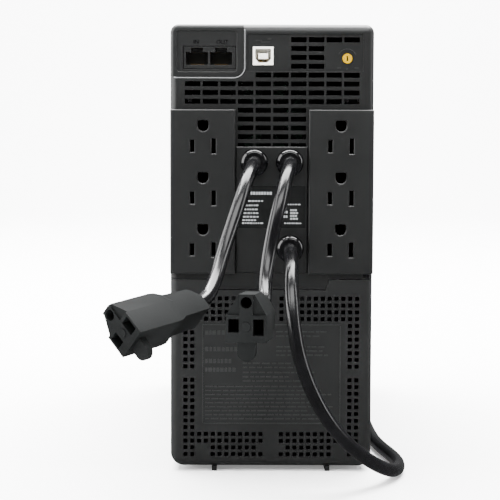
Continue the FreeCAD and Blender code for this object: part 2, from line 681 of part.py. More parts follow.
def gland(name, x, z):
    """A moulded cord bushing: collar, tapered nose, neck through the panel, and lip."""
    profile = [(S.gland_radius, S.rear_face - S.pad_proud), (S.gland_radius, S.gland_out + 2.2),
               (S.gland_radius - 0.8, S.gland_out + 0.8), (S.gland_radius - 2.0, S.gland_out)]
    neck = S.gland_radius - 2.1
    lip = S.rear_face + S.wall
    profile = [(0, S.gland_out)] + profile[::-1] + [
        (neck, S.rear_face - S.pad_proud), (neck, lip), (neck + 1.2, lip),
        (neck + 0.4, lip + 2.2), (0, lip + 2.2)]
    points = [Vector(radius, y, 0) for radius, y in profile]
    face = Part.Face(Part.makePolygon(points + points[:1]))
    turned = face.revolve(Vector(), Vector(0, 1, 0), 360)
    return solid(name, turned, Placement(Vector(x, 0, z), Rotation()))


# ---------------------------------------------------------------- inside
def batteries():
    """Two sealed lead-acid blocks end to end on the tray's floor, with tab terminals."""
    pieces = {}
    tabs = []
    for name, start in (("battery_rear", "rear_face + 8"),
                        ("battery_front", "rear_face + battery_long + 9")):
        low = ("-0.5 * battery_wide", start, "foot_high + wall")
        high = ("0.5 * battery_wide", f"{start} + battery_long", "foot_high + wall + battery_high")
        blank = block(name + "_blank", low, high)
        lid = S.foot_high + S.wall + S.battery_high
        pieces[name] = rounded(name, blank, 2, lambda m, e: near(m.z, lid))
        for x in (-24, 17.65):
            tabs.append(block(f"{name}_tab_{'p' if x > 0 else 'n'}",
                              (x, f"{start} + 8", "foot_high + wall + battery_high"),
                              (x + 6.35, f"{start} + 8.8", "foot_high + wall + battery_high + 6.5")))
    pieces["battery_terminals"] = group("battery_terminals", tabs)
    pieces["battery_strap"] = block(
        "battery_strap", (-26, "rear_face + battery_long + 2", "foot_high + wall + battery_high"),
        (26, "rear_face + battery_long + 16", "foot_high + wall + battery_high + 1.2"))
    return pieces


def transformer():
    """The isolating transformer: laminated core with a winding through its windows."""
    low, deck = 64, "shelf_low + shelf_thick"
    core = block("core_blank", (-42, low, deck), (42, low + 42, f"{deck} + 70"))
    windows = [block(f"core_window_{x}", (x, low - 1, f"{deck} + 14"), (x + 14, low + 43, f"{deck} + 56"))
               for x in (-28, 14)]
    core = minus("transformer_core", core, windows)
    coil = block("coil_blank", (-27, low - 13, f"{deck} + 15"), (27, low + 55, f"{deck} + 55"))
    coil = rounded("coil_soft", coil, 9, lambda m, e: near(abs(m.x), 27)
                   and near(abs(m.y - low - 21), 34))
    limb = block("coil_limb", (-14, low, f"{deck} + 14"), (14, low + 42, f"{deck} + 56"))
    return {"transformer_core": core, "transformer_winding": minus("transformer_winding", coil, [limb])}


def electronics():
    """The inverter board on its posts over the shelf, with what stands on it."""
    deck = "shelf_low + shelf_thick"
    top = f"{deck} + 8.6"
    board = block("main_board", (-54, -132, f"{deck} + 7"), (54, 34, top))
    posts = [rod(f"post_{x}_{y}".replace("-", "m"), 2.5, (x, y, deck), 7, "z")
             for x in (-48, 48) for y in (-124, 26)]
    sink = block("sink_blank", (-50, -84, top), (-34, 16, f"{top} + 44"))
    fins = [block(f"sink_gap_{row}", (-45, -85, f"{top} + {5 + 6 * row}"),
                  (-33, 17, f"{top} + {8.6 + 6 * row}"))
            for row in range(6)]
    cans = [rod(f"can_{row}", 8, (34, -74 + 20 * row, top), 32, "z") for row in range(4)]
    relays = [block(f"relay_{row}", (-20, -100 + 26 * row, top), (-1, -84 + 26 * row, f"{top} + 16"))
              for row in range(4)]
    return {"main_board": board, "board_posts": group("board_posts", posts),
            "heatsink": minus("heatsink", sink, fins), "capacitors": group("capacitors", cans),
            "relays": group("relays", relays),
            "alarm_sounder": rod("alarm_sounder", 6, (12, 20, top), 8, "z")}


def fan():
    """A square axial fan behind the upper slots, its rotor on a fixed bearing boss."""
    near_face = "rear_face + wall + 3"
    half = "0.5 * fan_side"
    frame = block("fan_blank", (f"-1 * {half}", near_face, f"fan_high - {half}"),
                  (half, f"{near_face} + fan_thick", f"fan_high + {half}"))
    throat = rod("fan_throat", f"{half} - 1.5", (0, f"{near_face} - 1", "fan_high"), "fan_thick + 2")
    holes = [rod(f"fan_hole_{x}_{z}".replace("-", "m"), 2.1,
                 (x, f"{near_face} - 1", f"fan_high + {z}"), "fan_thick + 2")
             for x in (-20, 20) for z in (-20, 20)]
    ring = minus("fan_ring", frame, [throat] + holes)
    boss = rod("fan_boss", 8, (0, f"{near_face} + fan_thick - 2.5", "fan_high"), 2.5)
    inner, outer = f"{near_face} + fan_thick - 2", f"{near_face} + fan_thick"
    struts = [block("fan_strut_across", (f"-1 * {half} + 1", inner, "fan_high - 1.2"),
                    (f"{half} - 1", outer, "fan_high + 1.2")),
              block("fan_strut_up", (-1.2, inner, f"fan_high - {half} + 1"),
                    (1.2, outer, f"fan_high + {half} - 1"))]
    bore = rod("fan_bore", 1.55, (0, near_face, "fan_high"), "fan_thick + 2")
    body = minus("fan_frame", plus("fan_solid", [ring, boss] + struts), [bore])
    hub = rod("fan_hub", 9, (0, f"{near_face} + 1", "fan_high"), 10.5)
    pin = rod("fan_pin", 1.5, (0, f"{near_face} + 8", "fan_high"), 6.5)
    blades = [solid(f"fan_blade_{row}", fan_blade(row * 360 / 7)) for row in range(7)]
    return {"fan_frame": body, "fan_rotor": plus("fan_rotor", [hub, pin] + blades)}


def fan_blade(angle):
    """One flat pitched blade from inside the hub to just short of the throat."""
    blade = Part.makeBox(14, 1.2, 11, Vector(8, -0.6, -5.5))
    blade.rotate(Vector(), Vector(1, 0, 0), 52)
    blade = blade.common(Part.makeCylinder(22.3, 40, Vector(0, -20, 0), Vector(0, 1, 0)))
    blade.rotate(Vector(), Vector(0, 1, 0), angle)
    blade.translate(Vector(0, S.rear_face + S.wall + 3 + 6, S.fan_high))
    return blade


# ---------------------------------------------------------------- cords
ROUTES = {
    "output_cord_left": [
        (-10.5, -171, 186), (-10.5, -187, 186), (-13.8, -203.5, 180), (-18.2, -214.5, 167.2),
        (-23.4, -221.5, 151.8), (-27.8, -229.5, 138.3), (-31, -239.5, 126.3), (-34, -249, 118.8),
        (-37.3, -257.3, 114.8), (-41.6, -265, 113)],
    "output_cord_right": [
        (10.5, -171, 186), (10.5, -185.8, 186), (8.2, -198.9, 179.7), (5, -208.2, 168.6),
        (1.9, -212.4, 156.7), (-0.8, -212.8, 144), (-2.8, -215.7, 132), (-4.3, -222.2, 121),
        (-4.7, -232.3, 112.6), (-5.2, -244.8, 108.5), (-7, -258, 109.2)],
    "supply_cord": [
        (10.8, -171, 135), (10.8, -190, 135), (10.6, -208, 130), (10.5, -221.5, 117.5), (11.4, -228, 100),
        (14.2, -230, 82), (20.2, -231, 64), (29.6, -229, 45.5), (42.3, -221, 29), (57, -207, 15.5),
        (69.4, -191, 6.8), (76, -172.5, 4.1), (77.5, -152, 4.1), (74.5, -129, 4.1), (70, -105, 4.1),
        (67, -76, 4.1), (66, -28, 4.1), (66.2, 26, 4.1), (66.6, 80, 4.1), (67.2, 134, 4.1),
        (68.6, 184, 4.1), (70.2, 226, 4.1)],
    "supply_cord_tail": [
        (18, 294, 8), (3, 294, 8), (-12, 293.4, 8.2), (-26, 286.4, 9.2), (-36.2, 275, 10.8),
        (-41.4, 260.4, 12.2), (-42, 244, 12.7)],
}


def cord(name, route, radius):
    """A tube along straight runs joined by tangent arcs, each as large as its runs allow."""
    points = [Vector(*point) for point in route]
    runs = [after - before for before, after in zip(points, points[1:])]
    edges, radii = [], []
    start = points[0]
    for index in range(1, len(points) - 1):
        before, after = runs[index - 1], runs[index]
        turn = before.getAngle(after)
        trim = 0.45 * min(before.Length, after.Length)
        radii.append(trim / math.tan(turn / 2))
        corner = points[index]
        inward, outward = -before.normalize(), Vector(after).normalize()
        enter, leave = corner + inward * trim, corner + outward * trim
        bisector = (inward + outward).normalize()
        reach = math.hypot(trim, radii[-1]) - radii[-1]
        edges.append(Part.LineSegment(start, enter).toShape())
        edges.append(Part.Arc(enter, corner + bisector * reach, leave).toShape())
        start = leave
        runs[index - 1] = before
    edges.append(Part.LineSegment(start, points[-1]).toShape())
    path = Part.Wire(edges)
    heading = (points[1] - points[0]).normalize()
    ring = Part.Wire(Part.Circle(points[0], heading, radius).toShape())
    tube = path.makePipeShell([ring], True, False)
    volume = math.pi * radius ** 2 * path.Length
    print(f"{name}: length {path.Length:.1f}, tightest arc {min(radii):.1f}, "
          f"volume over section times length {tube.Volume / volume:.4f}")
    print("   arcs", " ".join(f"{value:.0f}" for value in radii))
    return solid(name, tube)


def supply_coil():
    """The cord's put-away length as one ring: four turns, two beside and two on top."""
    across = [rod(name, f"coil_middle + {way} * 2 * cord_radius", ("coil_mid_x", "coil_mid_y", 0),
                  "4 * cord_radius", "z") for name, way in (("coil_outer", 1), ("coil_inner", -1))]
    return minus("supply_cord_coil", across[0], [across[1]])


def turned(tip, axis, roll):
    """Placement of a part whose own +Y runs along axis and whose +Z is turned by roll."""
    along = Vector(*axis).normalize()
    side = along.cross(Vector(0, 0, 1)).normalize()
    upward = side.cross(along)
    spin = Rotation(along, roll)
    return Placement(Vector(*tip), Rotation(spin.multVec(side), along, spin.multVec(upward), "YXZ"))


def section(half_wide, half_high, shoulder, crown, y, rise=0.0):
    """A connector's cross-section: flat below, upright sides, slopes to a narrow top."""
    corners = [(-half_wide, -half_high), (half_wide, -half_high), (half_wide, shoulder),
               (crown, half_high), (-crown, half_high), (-half_wide, shoulder)]
    points = [Vector(x, y, z + rise) for x, z in corners]
    return Part.makePolygon(points + points[:1])


# where a connector's cord end is, which way its face points, and its roll in degrees
CONNECTORS = {"left": ((-41.6, -265, 113), (-0.66, -0.743, -0.11), 45),
              "right": ((-7, -258, 109.2), (-0.134, -0.989, 0.05), 0)}
CONNECTOR_LONG = 58
TAB_HALF, TAB_RISE = 4.75, -17.4


def output_connector(side):
    """One moulded output connector: grip, stepped body, socket face with its raised frame
    and round boss, finger tab below, and the contacts inside."""
    place = turned(*CONNECTORS[side])
    backward = Vector(0, 1, 0)
    body = Part.makeLoft([section(7.2, 7.6, 0.5, 3.2, 0), section(8.2, 8.8, 0.6, 3.6, 3),
                          section(8.5, 9.4, 0.8, 3.8, 21), section(10, 11.8, 1.4, 4, 26),
                          section(10.35, 12.2, 1.5, 4.1, 30),
                          section(10.35, 12.2, 1.5, 4.1, CONNECTOR_LONG)], True, True)
    tab = Part.makeBox(2 * TAB_HALF, 3.8, 8, Vector(-TAB_HALF, 51.5, TAB_RISE))
    tab = tab.fuse(Part.makeCylinder(TAB_HALF, 3.8, Vector(0, 51.5, TAB_RISE), backward))
    boss = Part.makeCylinder(2.4, 1, Vector(0, CONNECTOR_LONG - 0.4, -4.2), backward)
    body = body.fuse([tab, boss]).removeSplitter()
    for low in (-15.5, 3.5):
        body = body.cut(Part.makeBox(12, 3, 14, Vector(low, CONNECTOR_LONG - 1.2, 1.6)))
    half_gap = S.blade_gap / 2
    for x, high in ((half_gap, 6.8), (-half_gap, 8.2)):
        body = body.cut(Part.makeBox(5.4, 19, high, Vector(x - 2.7, 40, -0.4 - high)))
    ground = Vector(0, 38, 8)
    body = body.cut(Part.makeCylinder(2.9, 21, ground, backward))
    leaves = [Part.makeBox(0.6, 9, 5.6, Vector(x + gap - 0.3, 40, -6.7))
              for x in (half_gap, -half_gap) for gap in (-1.5, 1.5)]
    sleeve = Part.makeCylinder(2.8, 12, ground, backward)
    sleeve = sleeve.cut(Part.makeCylinder(2.4, 12, ground, backward))
    name = "output_connector_" + side
    return {name: solid(name, body, place),
            name + "_contacts": solid(name + "_contacts", Part.makeCompound(leaves + [sleeve]), place)}


def mains_plug():
    """The supply cord's moulded plug with its strain relief, two blades and a ground pin."""
    place = turned(ROUTES["supply_cord_tail"][-1], (0, -1, 0), 0)
    relief = Part.makeCone(6.2, 8.2, 22, Vector(0, 0, 0), Vector(0, 1, 0))
    body = Part.makeLoft([section(9.5, 8.5, 3, 6, 20), section(13, 12.6, 5, 6.5, 32),
                          section(13, 12.6, 5, 6.5, 50)], True, True)
    body = body.fuse(relief).removeSplitter()
    blades = [Part.makeBox(1.5, 17.5, 6.35, Vector(x - 0.75, 50, -8.4))
              for x in (S.blade_gap / 2, -S.blade_gap / 2)]
    pin = Part.makeCylinder(2.4, 18, Vector(0, 50, 6.7), Vector(0, 1, 0))
    nose = Part.makeSphere(2.4, Vector(0, 68, 6.7), Vector(0, 1, 0), 0, 90, 360)
    metal = Part.makeCompound(blades + [pin.fuse(nose)])
    return {"supply_plug": solid("supply_plug", body, place),
            "supply_plug_blades": solid("supply_plug_blades", metal, place)}


# ---------------------------------------------------------------- assembly
def label_plate():
    """The rating plate on the middle pad."""
    face = "rear_face - pad_proud"
    return block("rating_label", (-20, f"{face} - 0.25", 147), (20, face, 172))


def everything():
    """Every sub-part by its node name."""
    cover, tray = case_shells()
    parts = {"rear_panel": rear_panel(), "battery_door": battery_door(), "top_cover": cover,
             "base_tray": tray, "front_bezel": front_bezel(), "case_screws": case_screws(),
             "rating_label": label_plate()}
    parts.update(front_controls())
    parts.update(feet())
    parts["mid_shelf"] = block(
        "mid_shelf", ("wall - half_width + 0.3", "rear_face + rear_rim + 1", "shelf_low"),
        ("half_width - wall - 0.3", "front_face - front_rim - 1", "shelf_low + shelf_thick"))
    for side, way in SIDES:
        parts[f"outlet_strip_{side}"] = outlet_strip(side, way)
        for pole in ("line", "neutral", "ground"):
            parts[f"{pole}_rail_{side}"] = contact_rail(pole, side, way)
        parts[f"output_gland_{side}"] = gland(f"output_gland_{side}", way * S.pigtail_mid,
                                              S.pigtail_high)
        parts.update(output_connector(side))
    parts["supply_gland"] = gland("supply_gland", S.supply_mid, S.supply_high)
    for make in (data_port, usb_port, dial, batteries, transformer, electronics, fan, mains_plug):
        parts.update(make())
    for name, route in ROUTES.items():
        parts[name] = cord(name, route, S.cord_radius)
    parts["supply_cord_coil"] = supply_coil()
    return parts


def write(parts):
    """Check every object and sub-part, then write one STEP file for each."""
    doc.recompute()
    faults = [item.Name for item in doc.Objects if {"Invalid", "Error"} & set(item.State)]
    for node, piece in parts.items():
        piece.Label = node
        if piece.Shape.isNull() or not piece.Shape.isValid() or not piece.Shape.Solids:
            faults.append(node)
    if faults:
        raise RuntimeError("failed: " + ", ".join(faults))
    os.makedirs("parts", exist_ok=True)
    for old in os.listdir("parts"):
        if old.endswith(".step") and old[:-5] not in parts:
            os.remove(os.path.join("parts", old))
    for node, piece in parts.items():
        piece.Shape.exportStep(f"parts/{node}.step")
    print(len(parts), "sub-parts written")


write(everything())
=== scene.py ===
import json
import math

import bmesh
import bpy
import numpy as np
from mathutils import Matrix, Vector


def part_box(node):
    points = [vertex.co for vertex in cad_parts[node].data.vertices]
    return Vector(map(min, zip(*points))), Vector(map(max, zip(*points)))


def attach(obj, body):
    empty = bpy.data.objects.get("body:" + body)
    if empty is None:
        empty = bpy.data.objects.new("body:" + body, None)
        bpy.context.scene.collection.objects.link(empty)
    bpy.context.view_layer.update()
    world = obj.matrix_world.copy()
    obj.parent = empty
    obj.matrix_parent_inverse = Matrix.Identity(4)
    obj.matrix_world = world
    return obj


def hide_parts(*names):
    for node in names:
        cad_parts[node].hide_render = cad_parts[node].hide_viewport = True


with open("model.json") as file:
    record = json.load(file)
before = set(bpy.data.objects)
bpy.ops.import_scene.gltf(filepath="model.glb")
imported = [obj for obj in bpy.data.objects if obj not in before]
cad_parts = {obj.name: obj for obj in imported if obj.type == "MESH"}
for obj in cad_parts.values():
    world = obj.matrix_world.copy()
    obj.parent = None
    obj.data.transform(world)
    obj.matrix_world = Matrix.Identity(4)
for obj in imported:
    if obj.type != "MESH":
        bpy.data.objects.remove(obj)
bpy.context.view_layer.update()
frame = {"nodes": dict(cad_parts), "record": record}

MM = 0.001
NODES = frame["nodes"]
CORD_DIAMETER = 8 * MM
BODY_OF = {node: body for body, nodes in frame["record"]["behaviour"]["bodies"].items() for node in nodes}
SLOT_OF = {row["node"]: row["material_slot"] for row in frame["record"]["subparts"]}


def corners(node):
    """A node's lowest and highest corners at rest, in mm."""
    return [np.array(corner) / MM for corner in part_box(node)]


LABEL_PAD = 1.2     # the pad under the rating label stands this far out of the panel
INSET_DEEP = 0.7    # the recess round the USB port and the dial
PORT_RIM = 0.6      # the data port's face lies this far behind its rim
INTO = 0.05         # raised marks start this far inside the face they stand on
CAPITALS = 0.7      # height of the typeface's capitals, as a share of its size
PANEL_FACE = corners("rear_panel")[0][1] + LABEL_PAD
INSET_FACE = PANEL_FACE + INSET_DEEP


# ---------------------------------------------------------------- camera
def aim_camera():
    """A long lens square to the sockets, a little above the middle, looking slightly down."""
    camera = bpy.data.objects.new("view_camera", bpy.data.cameras.new("view_camera"))
    camera.data.lens = 121.8
    camera.data.sensor_width = 36
    camera.data.clip_end = 20
    camera.location = Vector((-13.1, -1165, 220)) * MM
    down, lean = 4.914, -0.19
    camera.rotation_euler = (math.radians(90 - down), math.radians(lean), 0)
    bpy.context.collection.objects.link(camera)
    bpy.context.scene.camera = camera


# ---------------------------------------------------------------- materials
def linear(code):
    """Linear colour, with full alpha, of an sRGB hex value such as "#1c1c1e"."""
    parts = [int(code[at:at + 2], 16) / 255 for at in (1, 3, 5)]
    return [c / 12.92 if c <= 0.04045 else ((c + 0.055) / 1.055) ** 2.4 for c in parts] + [1.0]


def wire(node, links):
    """Set a node's inputs, each to a plain value, a socket or another node's first output."""
    for name, value in links.items():
        if isinstance(value, bpy.types.Node):
            value = value.outputs[0]
        if isinstance(value, bpy.types.NodeSocket):
            node.id_data.links.new(value, node.inputs[name])
        else:
            node.inputs[name].default_value = value


def add(tree, kind, links=None, stops=()):
    """Add a node with its inputs set by links and its colour ramp by (position, hex) stops."""
    node = tree.nodes.new("ShaderNode" + kind)
    wire(node, links or {})
    for at, (position, code) in enumerate(stops):
        node.color_ramp.elements[at].position = position
        node.color_ramp.elements[at].color = linear(code)
    return node


def blank(name):
    """An empty node material: its tree and its Principled shader, already wired out."""
    material = bpy.data.materials.new(name)
    material.use_nodes = True
    tree = material.node_tree
    tree.nodes.clear()
    shader = add(tree, "BsdfPrincipled")
    add(tree, "OutputMaterial", {"Surface": shader})
    return material, tree, shader


def blobs(size_mm):
    """The noise scale that makes blobs about size_mm across."""
    return 1 / (size_mm * MM)


def moulded(name, dark, light, rough=(0.42, 0.55), grain_mm=0.45, grain=0.12, specular=0.5):
    """Plastic from a spark-eroded mould: a very fine even grain that breaks up the shine,
    with faint cloudy patches of handling gloss 38 mm across. The grain is 0.45 mm, coarser
    than the real 0.1 mm, so that it still shows."""
    material, tree, shader = blank(name)
    place = add(tree, "TexCoord").outputs["Object"]
    cloud = add(tree, "TexNoise", {"Vector": place, "Scale": blobs(38), "Detail": 4, "Roughness": 0.55})
    fine = add(tree, "TexNoise", {"Vector": place, "Scale": blobs(grain_mm), "Detail": 2, "Roughness": 0.7})
    mixed = add(tree, "Mix", {"Factor": 0.25, "A": cloud, "B": fine})
    wire(shader, {
        "Base Color": add(tree, "ValToRGB", {"Fac": mixed}, [(0.3, dark), (0.7, light)]),
        "Roughness": add(tree, "MapRange", {"Value": cloud, "To Min": rough[0], "To Max": rough[1]}),
        "Normal": add(tree, "Bump", {"Height": fine, "Strength": grain, "Distance": 0.05 * MM}),
        "IOR": 1.53, "Specular IOR Level": specular})
    return material


def polished(name, dark, light, rough=(0.08, 0.16)):
    """Plastic from a polished mould: deep colour and sharp reflections, with a slow waviness
    22 mm long and hairline swirls 1.6 mm apart."""
    material, tree, shader = blank(name)
    place = add(tree, "TexCoord").outputs["Object"]
    wave = add(tree, "TexNoise", {"Vector": place, "Scale": blobs(22), "Detail": 3, "Roughness": 0.55})
    swirl = add(tree, "TexNoise", {"Vector": place, "Scale": blobs(1.6), "Detail": 4, "Roughness": 0.65})
    wire(shader, {
        "Base Color": add(tree, "ValToRGB", {"Fac": wave}, [(0.3, dark), (0.7, light)]),
        "Roughness": add(tree, "MapRange", {"Value": swirl, "To Min": rough[0], "To Max": rough[1]}),
        "Normal": add(tree, "Bump", {"Height": wave, "Strength": 0.06, "Distance": 0.3 * MM}),
        "IOR": 1.53})
    return material


def flexible_vinyl():
    """Extruded PVC cord jacket: smooth and shiny, with the faint waviness of the twisted
    cores under it, 9 mm long, and fine dullness where it has been handled."""
    material, tree, shader = blank("flexible_vinyl")
    place = add(tree, "TexCoord").outputs["Object"]
    cores = add(tree, "TexNoise", {"Vector": place, "Scale": blobs(9), "Detail": 2, "Roughness": 0.55})
    skin = add(tree, "TexNoise", {"Vector": place, "Scale": blobs(0.8), "Detail": 3, "Roughness": 0.55})
    wire(shader, {
        "Base Color": add(tree, "ValToRGB", {"Fac": cores}, [(0.3, "#040405"), (0.75, "#08080a")]),
        "Roughness": add(tree, "MapRange", {"Value": skin, "To Min": 0.17, "To Max": 0.27}),
        "Normal": add(tree, "Bump", {"Height": cores, "Strength": 0.25, "Distance": 0.4 * MM}),
        "IOR": 1.54, "Specular IOR Level": 0.4})
    return material


def metal(name, dark, light, rough=(0.2, 0.35), grain_mm=1.5):
    """Drawn, stamped or plated metal: bright, with streaks along Z eight times as long as
    they are wide, and slight tarnish in them."""
    material, tree, shader = blank(name)
    place = add(tree, "TexCoord").outputs["Object"]
    streaks = add(tree, "Mapping", {"Vector": place, "Scale": (1, 1, 0.12)})
    drawn = add(tree, "TexNoise", {"Vector": streaks, "Scale": blobs(grain_mm), "Detail": 4,
                                   "Roughness": 0.55})
    wire(shader, {
        "Base Color": add(tree, "ValToRGB", {"Fac": drawn}, [(0.3, dark), (0.7, light)]),
        "Roughness": add(tree, "MapRange", {"Value": drawn, "To Min": rough[0], "To Max": rough[1]}),
        "Metallic": 1.0})
    return material


def printed_film():
    """Rating label: thin dark polyester film with a soft satin face, mottled every 3 mm."""
    material, tree, shader = blank("printed_film")
    place = add(tree, "TexCoord").outputs["Object"]
    mottle = add(tree, "TexNoise", {"Vector": place, "Scale": blobs(3), "Detail": 3, "Roughness": 0.55})
    wire(shader, {
        "Base Color": add(tree, "ValToRGB", {"Fac": mottle}, [(0.3, "#0b0c0c"), (0.7, "#0f1010")]),
        "Roughness": add(tree, "MapRange", {"Value": mottle, "To Min": 0.35, "To Max": 0.45}),
        "Specular IOR Level": 0.15})
    return material


MATERIALS = {
    # ABS shell, spark-eroded: near black with an even satin sheen and no clear reflection
    "case_black": moulded("textured_abs", "#0b0c0c", "#101111", rough=(0.38, 0.48), specular=0.4),
    # the same ABS in the rear panel, a touch smoother
    "panel_black": moulded("panel_abs", "#0b0c0c", "#101111", rough=(0.38, 0.46), specular=0.4),
    # the battery door's own moulding: the same grain, slightly greyer
    "door_black": moulded("door_abs", "#101111", "#151616", rough=(0.38, 0.46), specular=0.4),
    # moulded polycarbonate of the socket strips and data port: greyer, with a weaker grain
    "strip_black": moulded("strip_polycarbonate", "#0e0f0f", "#121313", rough=(0.36, 0.44), grain=0.08,
                           specular=0.4),
    # polished black ABS of the display window, buttons and glands: clear dark reflections
    "gloss_black": polished("polished_black", "#040405", "#080809"),
    # extruded flexible PVC: long bright highlights along the cords
    "cord_black": flexible_vinyl(),
    # soft PVC moulded over connectors and plug: dull dark grey with a rubbery grain
    "connector_black": moulded("soft_vinyl", "#0e0f0f", "#181919", rough=(0.6, 0.7), grain_mm=0.8,
                               grain=0.3, specular=0.02),
    # moulded rubber feet: matt, almost no shine
    "rubber_black": moulded("foot_rubber", "#070708", "#0d0d0e", rough=(0.7, 0.85), specular=0.3),
    # polyester film of the rating label: a dark satin rectangle
    "label_grey": printed_film(),
    # stamped brass blades of the supply plug: warm yellow brown
    "contact_brass": metal("stamped_brass", "#6e5420", "#a88436"),
    # gold-plated spring wires in the data and USB ports: small bright glints
    "contact_gold": metal("gold_wire", "#a87c2e", "#d9b45e", (0.15, 0.25)),
    # tin-plated battery terminals, strap and posts: cool mid grey
    "plated_steel": metal("tin_plate", "#5d5f62", "#8b8d90"),
    # natural nylon of the USB port: warm white, soft shine
    "socket_white": moulded("white_nylon", "#e4e1d8", "#f2efe8", rough=(0.3, 0.4), grain=0.05),
    # dyed acetal dial: deep yellow, nearly matt
    "dial_yellow": moulded("yellow_acetal", "#8c6c00", "#a48100", rough=(0.5, 0.6), grain=0.05,
                           specular=0.04),
    # zinc-plated and blackened screws: dark with worn bright streaks
    "screw_steel": metal("blackened_zinc", "#2c2d2f", "#4a4b4d", (0.3, 0.45)),
    # solder mask on glass epoxy: very dark green lacquer
    "board_green": polished("solder_mask", "#06150d", "#0a2014", (0.3, 0.45)),
    # varnished steel laminations: brown-grey with fine edges every 0.6 mm
    "core_steel": metal("varnished_laminations", "#2e3033", "#55575b", (0.35, 0.5), 0.6),
    # enamelled copper winding: red brown, streaked by its turns
    "winding_copper": metal("enamelled_copper", "#5b2b12", "#9a5226", (0.3, 0.45), 0.8),
    # extruded aluminium: light, with drawing lines
    "heatsink_aluminium": metal("extruded_aluminium", "#7d8084", "#b2b5b9"),
    # battery jars: plain matt ABS
    "battery_case": moulded("battery_abs", "#0d0e0f", "#121314", rough=(0.5, 0.6), specular=0.25),
    # shrink sleeve of the capacitors: dark blue, fairly glossy
    "part_blue": polished("sleeve_blue", "#0f2c5c", "#163a78", (0.25, 0.35)),
    # clear green acrylic indicator lenses: sharp shine
    "lens_green": polished("lens_acrylic", "#2f8a55", "#4fae74", (0.08, 0.14)),
    # painted steel shelf: grey, finely pebbled
    "shelf_grey": moulded("painted_shelf", "#232426", "#2b2c2e"),
    # ABS lip round the data port notch, smoother than the panel and coloured pale grey: a painted highlight
    # for the light line along the notch
    "painted_highlight_edge": moulded("painted_highlight_abs", "#5c5d5e", "#6e6f70", rough=(0.3, 0.4), grain=0.05, specular=0.5),
    # brass deep in the sockets and connectors, coloured almost black brown: painted shade for the dark inside
    # the slots
    "painted_shade_brass": metal("brass_in_painted_shade", "#171309", "#2a2210", (0.4, 0.55)),
    # painted shade: the fan, board, shelf and batteries behind the vents are coloured near black, with next
    # to no shine, for the dark inside the case
    "painted_shade_black": moulded("painted_shade_abs", "#030303", "#060606", rough=(0.6, 0.75), specular=0.08),
    # grey screen ink: flat and matt
    "print_grey": moulded("screen_ink", "#6f7173", "#87898b", rough=(0.5, 0.6), grain=0.02),
    # raised ABS lettering, smoother than the face and coloured a shade paler than it: a painted highlight for
    # the light the raised marks catch
    "relief_painted_highlight": moulded("raised_abs_painted_highlight", "#1b1c1c", "#202121", rough=(0.3, 0.4), specular=0.5),
}


# ---------------------------------------------------------------- mesh helpers
def dress(piece, slot, body, finish=None):
    """Give a piece its material, from its finish or else its record slot, and the body it rides on."""
    piece.data.materials.clear()
    piece.data.materials.append(MATERIALS[finish or slot])
    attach(piece, body)
    return piece


def from_grid(name, grids):
    """One mesh of several surfaces, each a (rows, columns, 3) array of points in mm.

    A grid's quads join neighbouring rows and columns. Points that fall together are
    merged, so closed rings and poles leave no gap, and faces are turned outwards."""
    verts, faces, start = [], [], 0
    for grid in grids:
        rows, columns = grid.shape[:2]
        index = np.arange(rows * columns).reshape(rows, columns) + start
        quads = np.stack([index[:-1, :-1], index[:-1, 1:], index[1:, 1:], index[1:, :-1]], axis=-1)
        verts.append(grid.reshape(-1, 3))
        faces.append(quads.reshape(-1, 4))
        start += rows * columns
    mesh = bpy.data.meshes.new(name)
    mesh.from_pydata((np.concatenate(verts) * MM).tolist(), [], np.concatenate(faces).tolist())
    return finished(name, mesh)


def finished(name, mesh, merge=1e-6):
    """Merge doubles, drop flat slivers, turn faces outwards and link the object."""
    work = bmesh.new()
    work.from_mesh(mesh)
    bmesh.ops.remove_doubles(work, verts=work.verts, dist=merge)
    bmesh.ops.dissolve_degenerate(work, edges=work.edges, dist=merge)
    bmesh.ops.recalc_face_normals(work, faces=work.faces)
    work.to_mesh(mesh)
    work.free()
    piece = bpy.data.objects.new(name, mesh)
    bpy.context.collection.objects.link(piece)
    return piece


def copy_of(node, name, joined=True):
    """A merged copy of a CAD node's mesh. Its flat triangles are joined into plain faces,
    except on a perforated piece, where a face with holes through it can't be joined."""
    mesh = NODES[node].data.copy()
    mesh.name = name
    work = bmesh.new()
    work.from_mesh(mesh)
    bmesh.ops.remove_doubles(work, verts=work.verts, dist=2e-6)
    if joined:
        bmesh.ops.dissolve_limit(work, angle_limit=math.radians(0.6), verts=work.verts, edges=work.edges)
    work.to_mesh(mesh)
    work.free()
    for layer in list(mesh.attributes):
        if layer.name in ("custom_normal", "sharp_edge", "sharp_face"):
            mesh.attributes.remove(layer)
    piece = bpy.data.objects.new(name, mesh)
    bpy.context.collection.objects.link(piece)
    return piece


def eased(piece, width_mm, segments):
    """Round every sharp edge by a small bevel and shade the rest smoothly."""
    bevel = piece.modifiers.new("eased", "BEVEL")
    bevel.width = width_mm * MM
    bevel.segments = segments
    bevel.limit_method = "ANGLE"
    bevel.angle_limit = math.radians(32)
    bevel.harden_normals = True
    piece.data.shade_smooth()
    return piece


PERFORATED = ("rear_panel", "battery_door")


def soft_copy(node, width_mm, segments, finish=None):
    """A CAD node shown by an edge-eased copy of itself."""
    piece = eased(copy_of(node, node + "_moulding", node not in PERFORATED), width_mm, segments)
    dress(piece, SLOT_OF[node], BODY_OF[node], finish)
    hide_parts(node)
    return piece


